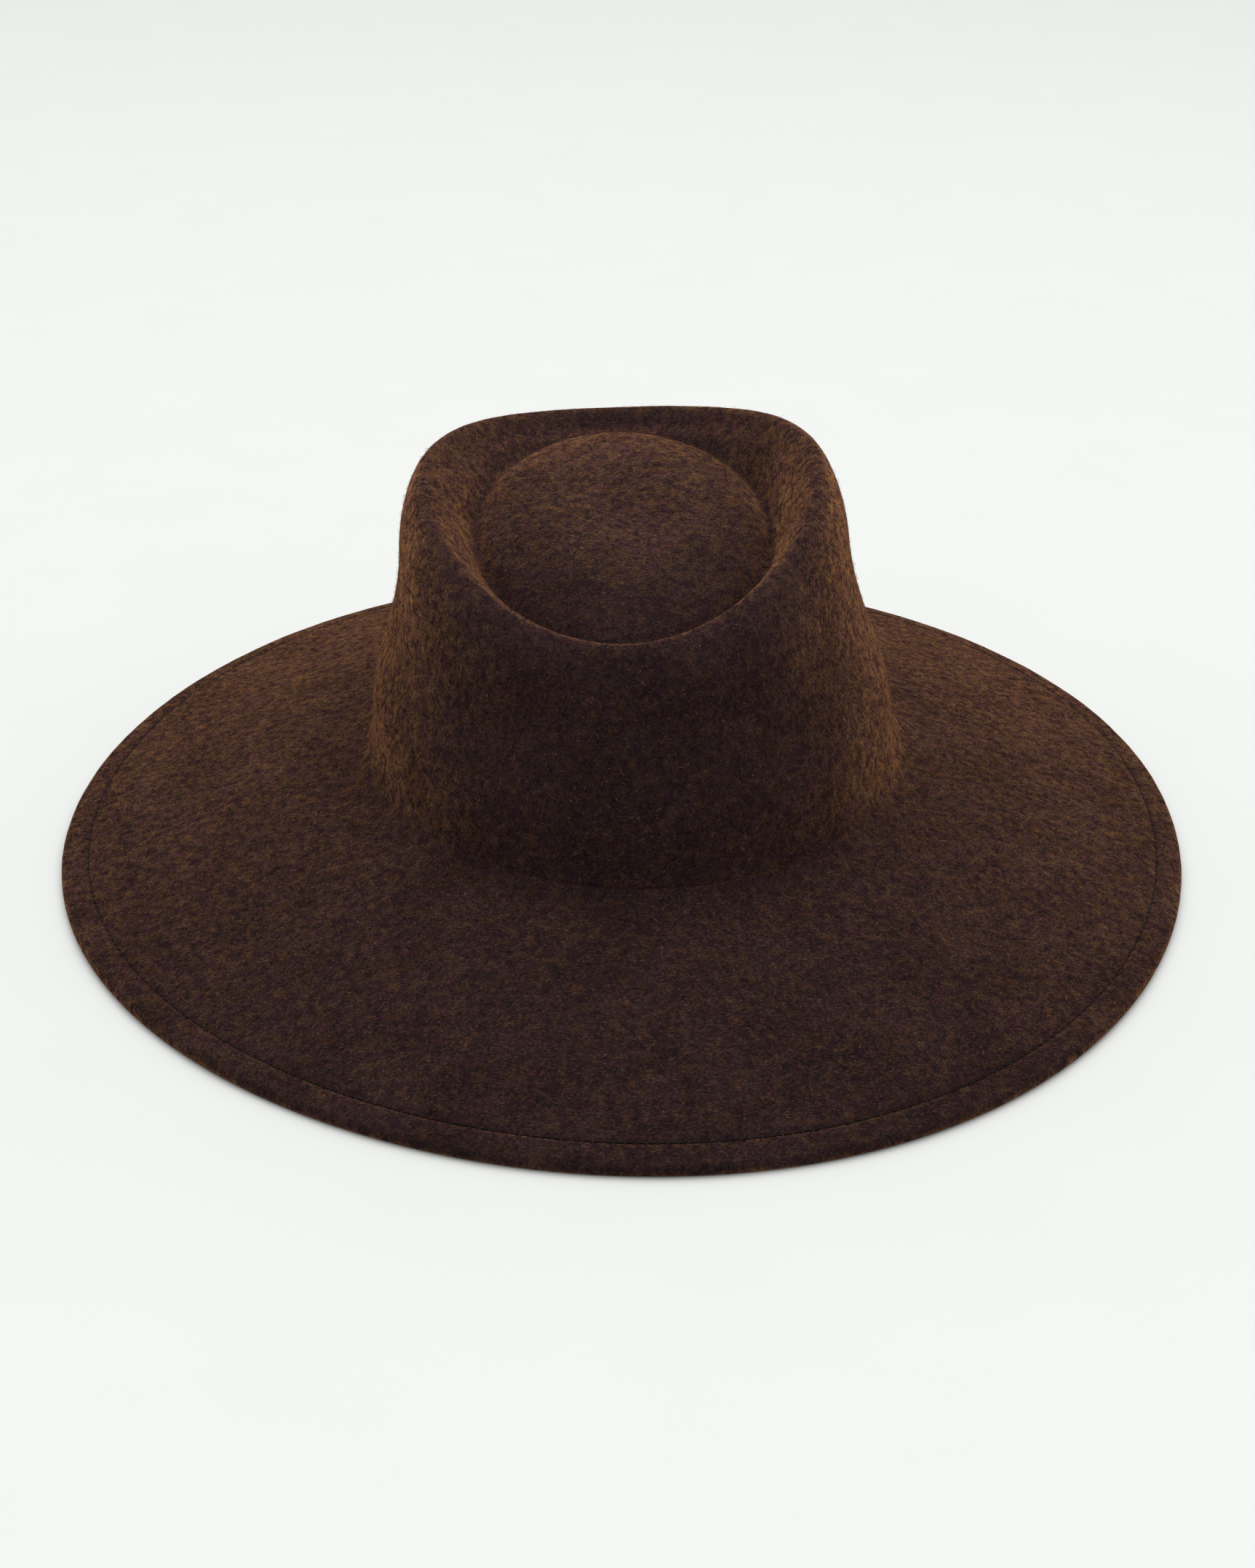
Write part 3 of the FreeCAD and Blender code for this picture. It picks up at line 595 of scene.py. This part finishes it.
# %% Stitches
def stitch_row(name, line, lift, count, radius, material_made, node, gap_share=0.10):
    """A row of stitches. line gives points on the surface, and lift the way out of it."""
    sides, steps = 7, 8
    points, faces = [], []
    for k in range(count):
        u = (k + gap_share + (1 - 2 * gap_share) * np.arange(steps + 1) / steps) * 2 * math.pi / count
        t = np.linspace(-1, 1, steps + 1)
        up = lift(u)
        arch = radius * (0.75 - 3.2 * np.abs(t) ** 5)
        middle = line(u) + up * arch[:, None]
        along = np.gradient(middle, axis=0)
        along /= np.linalg.norm(along, axis=1, keepdims=True)
        side = np.cross(along, up)
        side /= np.linalg.norm(side, axis=1, keepdims=True)
        rise = np.cross(side, along)
        thick = radius * (0.72 + 0.28 * (1 - t ** 4)) * (1 + 0.05 * np.cos(9 * t + k))
        rows = [middle[i] + thick[i] * (np.cos(w)[:, None] * side[i] + np.sin(w)[:, None] * rise[i])
                for i in range(steps + 1)
                for w in [2 * math.pi * np.arange(sides) / sides + 2.4 * t[i]]]
        made, found = closed_rows(rows)
        faces += [tuple(i + len(points) for i in face) for face in found]
        points += made.tolist()
    return finished(name, points, faces, material_made, "thread", node)


def finished(name, points, faces, material_made, slot_name, node, body="hat"):
    """A piece with its normals outwards, its finish and the CAD node it stands for; slot_name is not used."""
    made = piece(name, points, faces, body)
    shell = bmesh.new()
    shell.from_mesh(made.data)
    bmesh.ops.recalc_face_normals(shell, faces=shell.faces)
    shell.to_mesh(made.data)
    shell.free()
    made.data.materials.append(material_made)
    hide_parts(node)
    print("%-28s %6d points %6d faces" % (name, len(points), len(faces)))
    return made


def twisted_thread(name, base, light):
    """Two-ply sewing thread: a fine slanting stripe along each stitch, matt, with hardly any gloss."""
    made, tree, shader = material(name)
    turned = add(tree, "Mapping", {"Vector": millimetres(tree), "Rotation": (0.0, 0.0, 0.6)})
    ply = add(tree, "TexWave", {"Vector": turned.outputs[0], "Scale": 1.1, "Distortion": 1.2, "Detail": 2.0},
              bands_direction="DIAGONAL").outputs["Fac"]
    shade = stops(add(tree, "ValToRGB", {0: ply}), (0.2, base), (0.8, light))
    finish_with(tree, shader, shade, ply, 0.4, 0.0001, Roughness=0.7, Specular_IOR_Level=0.15)
    return made


def surface_up(line_at):
    """Way out of the brim's upper face, square to the slope and to the stitches."""
    def up(u):
        outwards = brim_point(STITCH_INSET - 1.0, u) - brim_point(STITCH_INSET + 1.0, u)
        along = line_at(u + 0.01) - line_at(u - 0.01)
        found = np.cross(outwards, along)
        return found / np.linalg.norm(found, axis=1, keepdims=True)
    return up


def top_line(u):
    return brim_point(STITCH_INSET, u, -NEEDLE_SINK)


def under_line(u):
    return brim_point(STITCH_INSET + FOLD_SHIFT, u, -FOLD_DROP + BOBBIN_SINK)


def under_up(u):
    return -top_up(u)


THREAD_RADIUS, NEEDLE_SINK, BOBBIN_SINK = 0.24, 0.47, 0.27
thread_finish = twisted_thread("polyester_thread_dark_brown", "0b0706", "1b120f")
top_up = surface_up(top_line)
stitch_row("brim_needle_stitches", top_line, top_up, STITCHES, THREAD_RADIUS, thread_finish,
           "brim_needle_thread")
stitch_row("brim_bobbin_stitches", under_line, under_up, STITCHES, THREAD_RADIUS, thread_finish,
           "brim_bobbin_thread")


# %% [markdown]
# ## Strips inside the crown
#
# The band, the tapes and the adjuster all lie round the inside of the crown's foot. A place there is a
# gap from the felt, a height and an angle round the hat, with the same parabola for the wall as in the
# CAD model. A strip is a small cross-section carried along the angles.

# %% Places and strips inside the crown
BAND_LOW = BRIM_HEIGHT + 1.2
BAND_HIGH, BAND_GAP, BAND_INNER = BAND_LOW + 32.0, 2.6, 3.6
BACK, LEFT = -math.pi / 2, math.pi
BACK_SPEED, LEFT_SPEED = 79.0, 98.0


def inside_point(gap, height, a):
    stations = [(FOOT_INSET, BRIM_HEIGHT + FOOT_RISE * foot_fillet(a))] + WALL_STATIONS[:2]
    levels = [level + share_of_crown(level) * crest_rise(a) for _, level in stations]
    inset = FELT * 1.27 + gap
    for k, (station, _) in enumerate(stations):
        weight = station
        for other in levels[:k] + levels[k + 1:]:
            weight = weight * (height - other) / (levels[k] - other)
        inset = inset + weight
    middle = -CROWN_BACK_SHIFT + share_of_crown(height) * (CROWN_BACK_SHIFT + CREST_FRONT_SHIFT)
    return point(crown_middle(height) + (CROWN_HALF_WIDTH - inset) * np.cos(a),
                 middle + (CROWN_HALF_LENGTH - inset) * np.sin(a), height)


def strip(lines, closed):
    """Points and faces of a strip: lines is one array of points per line of its cross-section."""
    grid = np.stack(lines)
    n, m = grid.shape[:2]
    faces = [(i * m + j, i * m + (j + 1) % m, (i + 1) % n * m + (j + 1) % m, (i + 1) % n * m + j)
             for i in range(n) for j in range(m if closed else m - 1)]
    if not closed:
        for j in (0, m - 1):
            faces += [(i * m + j, (n - 1 - i) * m + j, (n - 2 - i) * m + j, (i + 1) * m + j)
                      for i in range(n // 2 - 1)]
    return grid.reshape(-1, 3), faces


def ribbon_section(gap, thickness, low, high, steps):
    """(gap, height) round a flat ribbon with soft edges: up its outer face and down its inner one."""
    soft = min(0.3, thickness / 2)
    heights = np.linspace(low + soft, high - soft, steps)
    near, far = gap + 0.30 * thickness, gap + 0.70 * thickness
    felt_side = [(near, low)] + [(gap, h) for h in heights] + [(near, high)]
    head_side = [(far, high)] + [(gap + thickness, h) for h in heights[::-1]] + [(far, low)]
    return felt_side + head_side


def back_angles(low, high, step):
    """Angles for distances along the back, in millimetres from its middle."""
    count = max(3, round((high - low) / step) + 1)
    return BACK + np.linspace(low, high, count) / BACK_SPEED


RIGHT_EDGE, LEFT_EDGE = inside_point(BAND_INNER, BAND_LOW, 0.0), inside_point(BAND_INNER, BAND_LOW, LEFT)
print("band from %.1f to %.1f mm, inside width %.0f mm" % (
    BAND_LOW, BAND_HIGH, RIGHT_EDGE[0] - LEFT_EDGE[0]))

# %% [markdown]
# ## Grosgrain sweatband
#
# Grosgrain is a ribbon with a thick weft, so it has a rib across it every millimetre or so. The ribs are
# in the mesh, two columns to a rib, because they catch the light at the band's edge. The band is one
# length of ribbon whose two ends meet at the back under a tape.

# %% Grosgrain sweatband and its stitches
def grosgrain(name, dark, light, rib):
    """Ribbed ribbon: a fine weft along each rib, with painted shade in the valleys, and a soft satin sheen.
    """
    made, tree, shader = material(name)
    place = millimetres(tree)
    weft = add(tree, "TexNoise", {"Vector": place, "Scale": 2.6, "Detail": 3.0, "Roughness": 0.6})
    slow = add(tree, "TexNoise", {"Vector": place, "Scale": 0.12, "Detail": 2.0})
    height = add(tree, "SeparateXYZ", {0: place}).outputs[2]
    # Painted shade: a sine stripe darkens the colour between the ribs, and the same stripe is the ribs' bump.
    wave = calc(tree, "SINE", calc(tree, "MULTIPLY", height, 2 * math.pi / rib))
    mixed = calc(tree, "MULTIPLY_ADD", wave, 0.08, weft.outputs["Fac"])
    mixed = calc(tree, "MULTIPLY_ADD", slow.outputs["Fac"], 0.35, mixed)
    shade = stops(add(tree, "ValToRGB", {0: mixed}), (0.45, dark), (0.9, light))
    finish_with(tree, shader, shade, mixed, 0.5, 0.00012, Roughness=0.6, Specular_IOR_Level=0.25,
                Sheen_Weight=0.15, Sheen_Tint=colour(light))
    return made


def sweatband():
    columns = 2 * 508 + 1
    slit = 0.3 / BACK_SPEED
    a = np.linspace(BACK + slit, BACK + 2 * math.pi - slit, columns)
    rib = 0.07 * (-1.0) ** np.arange(columns)
    section = ribbon_section(BAND_GAP, 1.0, BAND_LOW, BAND_HIGH, 11)
    middle = BAND_GAP + 0.5
    lines = [inside_point(gap + np.sign(gap - middle) * (rib - 0.07), height, a) for gap, height in section]
    return strip(lines, False)


band_finish = grosgrain("grosgrain_dark_brown", "1a120f", "33251e", 0.5)
finished("grosgrain_sweatband", *sweatband(), band_finish, "grosgrain_band", "sweatband")
BAND_THREAD_RISE, BAND_STITCHES = 3.0, 172


def band_line(u, nearer=0.0):
    return inside_point(BAND_INNER + nearer, BAND_LOW + BAND_THREAD_RISE, u)


def inwards(u):
    found = band_line(u, 1.0) - band_line(u)
    return found / np.linalg.norm(found, axis=1, keepdims=True)


stitch_row("sweatband_stitches", band_line, inwards, BAND_STITCHES, THREAD_RADIUS, thread_finish,
           "sweatband_thread")

# %% [markdown]
# ## Tapes, bow and label
#
# A cotton tape ties the reed to the felt, another covers the seam of the band, and a small flat satin bow
# is sewn over it, which by custom marks the back. The label is woven in ecru and left blank.

# %% Woven finishes
def woven(name, dark, light, pitch, sheen, roughness=0.8):
    """A plain weave drawn as a small check of threads, with a little unevenness in tone."""
    made, tree, shader = material(name)
    place = millimetres(tree)
    apart = add(tree, "SeparateXYZ", {0: place})
    around = calc(tree, "ADD", apart.outputs[0], apart.outputs[1])
    warp, weft = (calc(tree, "SINE", calc(tree, "MULTIPLY", source, 2 * math.pi / pitch))
                  for source in (around, apart.outputs[2]))
    tone = add(tree, "TexNoise", {"Vector": place, "Scale": 1.2, "Detail": 4.0, "Roughness": 0.6})
    mixed = calc(tree, "MULTIPLY_ADD", calc(tree, "MULTIPLY", warp, weft), 0.14, tone.outputs["Fac"])
    shade = stops(add(tree, "ValToRGB", {0: mixed}), (0.3, dark), (0.7, light))
    finish_with(tree, shader, shade, mixed, 0.45, 0.00015, Roughness=roughness, Specular_IOR_Level=0.25,
                Sheen_Weight=sheen, Sheen_Tint=colour(light))
    return made


tape_finish = woven("cotton_tape_brown", "241a15", "3a2b22", 0.7, 0.3)
satin_finish = woven("satin_ribbon_dark_brown", "20140f", "3d2a20", 0.4, 0.5, 0.38)
label_finish = woven("woven_label_ecru", "b3a78f", "cfc5ae", 0.5, 0.15)
loop_finish = woven("loop_tape_black_brown", "120f0d", "2b2521", 0.9, 0.6, 0.95)
hook_finish = woven("hook_tape_black_brown", "0e0c0b", "231e1b", 0.9, 0.1, 0.5)
print("woven finishes:", tape_finish.name, satin_finish.name, label_finish.name)


# %% [markdown]
# ## Reed tape, seam tape, label and loop strip
#
# These four are flat strips with soft edges, so one function makes them all. A real tape is cut from a
# roll and wanders a little, which the small waves along its two edges give it.

# %% Reed tape, seam tape, label and loop strip
def flat_strip(gap, thickness, low, high, a, steps, wave=0.0, closed=False):
    section = ribbon_section(gap, thickness, low, high, steps)
    lines = []
    for k, (place, height) in enumerate(section):
        uneven = wave * np.sin(a * 9.0 + k * 0.7) + wave * np.sin(a * 23.0 + k * 1.9)
        lines.append(inside_point(place, height + (uneven if height in (low, high) else 0.0), a))
    return strip(lines, closed)


TAPE_GAP, TAPE_HEIGHT, SEWN_ON = 0.44, 7.0, BAND_INNER + 0.03
LOOP_GAP, TAB_GAP = 1.77, 0.67
TAB_LOW = BRIM_HEIGHT + 9.0
TAB_HIGH, TAB_TOP = TAB_LOW + 18.0, BAND_HIGH + 6.0
MIDDLE = BAND_LOW + 16.0
full_turn = 2 * math.pi * np.arange(420) / 420
finished("reed_tape_woven",
         *flat_strip(TAPE_GAP, 0.3, BAND_LOW, BAND_LOW + TAPE_HEIGHT, full_turn, 6, 0.04, True),
         tape_finish, "cotton_tape", "reed_tape")
finished("seam_tape_woven",
         *flat_strip(SEWN_ON, 0.4, BAND_LOW + 3.5, BAND_HIGH, back_angles(-6.0, 6.0, 0.5), 26, 0.05),
         tape_finish, "cotton_tape", "sweatband_seam_tape")
label_angles = LEFT + np.linspace(-12.0, 12.0, 49) / LEFT_SPEED
finished("size_label_blank",
         *flat_strip(SEWN_ON, 0.4, MIDDLE - 6.0, MIDDLE + 6.0, label_angles, 14, 0.03),
         label_finish, "woven_label", "size_label")


def loop_strip():
    """Loop tape: a ribbon whose face towards the felt is a mat of tiny loops."""
    a = back_angles(-30.0, 30.0, 0.45)
    section = ribbon_section(LOOP_GAP, 0.8, TAB_LOW, TAB_HIGH, 34)
    lines = []
    for k, (place, height) in enumerate(section):
        nap = 0.16 * np.abs(np.sin(a * BACK_SPEED * 2.3 + 1.3 * k)) * np.abs(np.sin(2.1 * height + a * 31.0))
        lines.append(inside_point(place + (nap if place == LOOP_GAP else 0.0), height, a))
    return strip(lines, False)


finished("adjuster_loop_tape", *loop_strip(), loop_finish, "loop_tape", "adjuster_loop_strip")


# %% [markdown]
# ## Bow
#
# The bow is a length of satin ribbon folded into two flat loops, narrower at the middle, with a short
# piece wrapped round it as the knot.

# %% Bow at the back
def bow_loop(side):
    """One loop: ribbon that runs out from the knot, folds round and comes back on top of itself."""
    thick, near, far = 0.11, BAND_INNER + 0.62, BAND_INNER + 1.12
    out = [(2.0 + 0.5 * k, near) for k in range(22)]
    fold = [(12.6 + 0.25 * math.sin(t), (near + far) / 2 - 0.25 * math.cos(t))
            for t in np.linspace(0.35, math.pi - 0.35, 5)]
    path = out + fold + [(s, far) for s, _ in out[::-1]]
    rows = []
    for k, (s, gap) in enumerate(path):
        before, after = path[max(k - 1, 0)], path[min(k + 1, len(path) - 1)]
        ds, dg = after[0] - before[0], after[1] - before[1]
        size = math.hypot(ds, dg)
        half = 4.5 * min(1.0, 0.62 + (s - 2.0) / 14.0)
        puff = 0.12 * math.sin(min(1.0, (s - 2.0) / 10.0) * math.pi)
        ring = []
        there, back = np.linspace(-1, 1, 9), np.linspace(1, -1, 9)
        for across, through in [(h, -1) for h in there] + [(h, 1) for h in back]:
            pleat = 0.05 * math.cos(across * 7.0) * (1.0 - (s - 2.0) / 11.0)
            ring.append((s + through * thick * -dg / size,
                         gap + through * thick * ds / size + (puff if gap > near + 0.25 else 0.0) + pleat,
                         MIDDLE + across * half))
        ring = np.array(ring)
        rows.append(inside_point(ring[:, 1], ring[:, 2], BACK + side * ring[:, 0] / BACK_SPEED))
    return closed_rows(rows)


def bow_knot():
    rows = []
    for s in np.linspace(-2.4, 2.4, 11):
        round_off = (1 - abs(s / 2.45) ** 6) ** 0.5
        w = 2 * math.pi * np.arange(24) / 24
        crease = 1 + 0.04 * math.cos(s * 5.0)
        height = MIDDLE + 3.0 * (0.86 + 0.14 * round_off) * np.sign(np.cos(w)) * np.abs(np.cos(w)) ** 0.6
        gap = BAND_INNER + 1.28 + 0.74 * crease * round_off * np.sign(np.sin(w)) * np.abs(np.sin(w)) ** 0.6
        rows.append(inside_point(gap, height, BACK + s / BACK_SPEED))
    return closed_rows(rows)


def joined(*parts):
    points, faces = [], []
    for made, found in parts:
        faces += [tuple(i + len(points) for i in face) for face in found]
        points += np.asarray(made).tolist()
    return points, faces


finished("satin_bow", *joined(bow_loop(1), bow_loop(-1), bow_knot()), satin_finish, "satin_ribbon",
         "sweatband_bow")

# %% [markdown]
# ## Sliding tab of the size adjuster
#
# The tab is a stiff strip of hook tape that can be pulled along the loop strip to make the band smaller.
# Its narrow end stands above the band as a grip. It is the only piece that really slides, so it rides on
# a body of its own.

# %% Adjuster tab
def adjuster_tab():
    rows = []
    heights = np.concatenate([[TAB_LOW], np.arange(TAB_LOW + 0.25, TAB_TOP, 0.45), [TAB_TOP]])
    for height in heights:
        shoulder = np.clip((height - TAB_HIGH + 1.2) / 2.4, 0, 1)
        half = 14.0 + (6.0 - 14.0) * shoulder ** 2 * (3 - 2 * shoulder)
        end = min(height - TAB_LOW, TAB_TOP - height)
        half -= 1.5 * (1 - math.sqrt(1 - (1 - min(end, 1.5) / 1.5) ** 2))
        across = np.linspace(-1, 1, 57)
        thin = 0.35 * min(1.0, 0.35 + end / 0.5)
        edge_thin = np.minimum(1.0, 0.3 + (1 - np.abs(across)) * half / 0.4)
        hook = 0.09 * (np.sin(across * half * 4.4) * np.sin(height * 4.4) > 0.25) * (height < TAB_HIGH)
        a = BACK + across * half / BACK_SPEED
        middle = TAB_GAP + 0.35
        front = inside_point(middle - thin * edge_thin, height, a)
        behind = inside_point(middle + thin * edge_thin - 0.09 + hook, height, a)
        rows.append(np.concatenate([front, behind[::-1]]))
    return closed_rows(rows)


finished("adjuster_hook_tab", *adjuster_tab(), hook_finish, "hook_tape", "adjuster_tab", "adjuster")


# %% [markdown]
# ## Wire, joiner and reed
#
# Three pieces are taken as the CAD model has them, because they are plain rods and a tube that the felt
# and the tape hide. The wire is drawn spring steel with faint lines along it, the joiner is a crimped
# steel sleeve, and the reed is extruded plastic.

# %% Finishes of the kept CAD pieces
def drawn(name, dark, light, metal, rough_low, rough_high, pitch):
    """Drawn or extruded stock: faint streaks, tiny scuffs, and a gloss that varies with them."""
    made, tree, shader = material(name)
    place = millimetres(tree)
    streaks = add(tree, "TexNoise", {"Vector": place, "Scale": 1.0 / pitch, "Detail": 4.0, "Roughness": 0.7})
    scuffs = add(tree, "TexNoise", {"Vector": place, "Scale": 0.25, "Detail": 3.0, "Roughness": 0.6})
    both = add(tree, "Mix", {0: 0.5, 2: streaks.outputs["Fac"], 3: scuffs.outputs["Fac"]}).outputs[0]
    shade = stops(add(tree, "ValToRGB", {0: both}), (0.40, dark), (0.60, light))
    finish_with(tree, shader, shade, streaks.outputs["Fac"], 0.3, 0.00005, Metallic=metal)
    gloss = spread(tree, both, 0.40, 0.60, rough_low, rough_high)
    tree.links.new(gloss, shader.inputs["Roughness"])
    return made


kept_finishes = {
    "brim_wire": drawn("spring_steel_drawn", "6f7072", "9a9b9c", 1.0, 0.28, 0.42, 0.4),
    "brim_wire_joiner": drawn("steel_sleeve_crimped", "5e5f60", "8b8c8c", 1.0, 0.35, 0.55, 0.6),
    "sweatband_reed": drawn("extruded_plastic_dark_brown", "241a15", "3a2b23", 0.0, 0.35, 0.5, 0.8)}
for name, finish in kept_finishes.items():
    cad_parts[name].data.materials[0] = finish
print("kept CAD pieces:", ", ".join(kept_finishes))


# %% [markdown]
# ## Table, light and camera
#
# The hat lies on a pale table that runs past the camera's view, and its colour is darkened by up to a
# tenth towards the far side as painted shade. The light is that of a white tent: even from all round but
# brighter overhead and at the far side, with one soft lamp there, so the shadow is soft and hugs the brim.
# The camera stands behind the hat, 0.87 metres away and 27.7 degrees above the table.

# %% Table, light and camera
def table():
    mesh = bpy.data.meshes.new("table")
    mesh.from_pydata([(-6, -6, 0), (6, -6, 0), (6, 9, 0), (-6, 9, 0)], [], [(0, 1, 2, 3)])
    made = bpy.data.objects.new("table", mesh)
    bpy.context.scene.collection.objects.link(made)
    paint, tree, shader = material("pale_matt_paper")
    place = millimetres(tree)
    grain = add(tree, "TexNoise", {"Vector": place, "Scale": 0.02, "Detail": 2.0})
    shade = stops(add(tree, "ValToRGB", {0: grain.outputs["Fac"]}), (0.3, "e6e8e6"), (0.7, "e7e9e6"))
    # Painted shade: the paper's colour falls to nine tenths towards the far side.
    far = spread(tree, add(tree, "SeparateXYZ", {0: place}).outputs[1], -300.0, 1500.0, 1.0, 0.90)
    tree.links.new(scaled(tree, shade, far), shader.inputs["Base Color"])
    shader.inputs["Roughness"].default_value = 0.9
    shader.inputs["Specular IOR Level"].default_value = 0.0
    mesh.materials.append(paint)
    return made


def lamp(name, place, aim, size, power):
    light = bpy.data.lights.new(name, "AREA")
    light.shape = "SQUARE"
    light.size = size
    light.energy = power
    made = bpy.data.objects.new(name, light)
    made.location = place
    made.rotation_euler = (Vector(aim) - Vector(place)).to_track_quat("-Z", "Y").to_euler()
    bpy.context.scene.collection.objects.link(made)
    return made


def camera():
    """A 60 mm lens on a 24 x 36 mm frame, upright, with the tiny roll of a camera held in the hand."""
    elevation, yaw, roll, distance = 0.4843, 0.0173, 0.0121, 0.8694
    target = Vector((0.0009, 0.0002, 0.0143))
    back = Vector((0.0, -math.cos(elevation), math.sin(elevation)))
    turned = Matrix.Rotation(-yaw, 4, "Z")
    place = Matrix.Translation(target + back * distance) @ Matrix.Rotation(math.pi / 2 - elevation, 4, "X")
    lens = bpy.data.cameras.new("camera")
    lens.lens, lens.sensor_width = 60.0, 36.0
    made = bpy.data.objects.new("camera", lens)
    made.matrix_world = turned @ place @ Matrix.Rotation(roll, 4, "Z")
    bpy.context.scene.collection.objects.link(made)
    bpy.context.scene.camera = made
    return made


def tent():
    """White cloth all round, brightest overhead and behind the table."""
    world = bpy.data.worlds.new("white_tent")
    world.use_nodes = True
    tree = world.node_tree
    way = add(tree, "TexCoord").outputs["Generated"]
    facing = add(tree, "VectorMath", {0: way, 1: (0.05, 0.36, 0.93)}, operation="DOT_PRODUCT")
    level = spread(tree, facing.outputs["Value"], -0.1, 1.0, 0.24, 1.44, interpolation_type="SMOOTHSTEP")
    cloth = tree.nodes["Background"]
    cloth.inputs[0].default_value = colour("fdfdfd")
    tree.links.new(level, cloth.inputs[1])
    bpy.context.scene.world = world


table()
tent()
lamp("soft_lamp_behind", (0.1, 0.55, 1.9), (0.0, 0.0, 0.0), 1.2, 6.0)
shot = camera()
bpy.context.scene.view_settings.view_transform = "Standard"
print("camera at", [round(v, 3) for v in shot.matrix_world.translation])
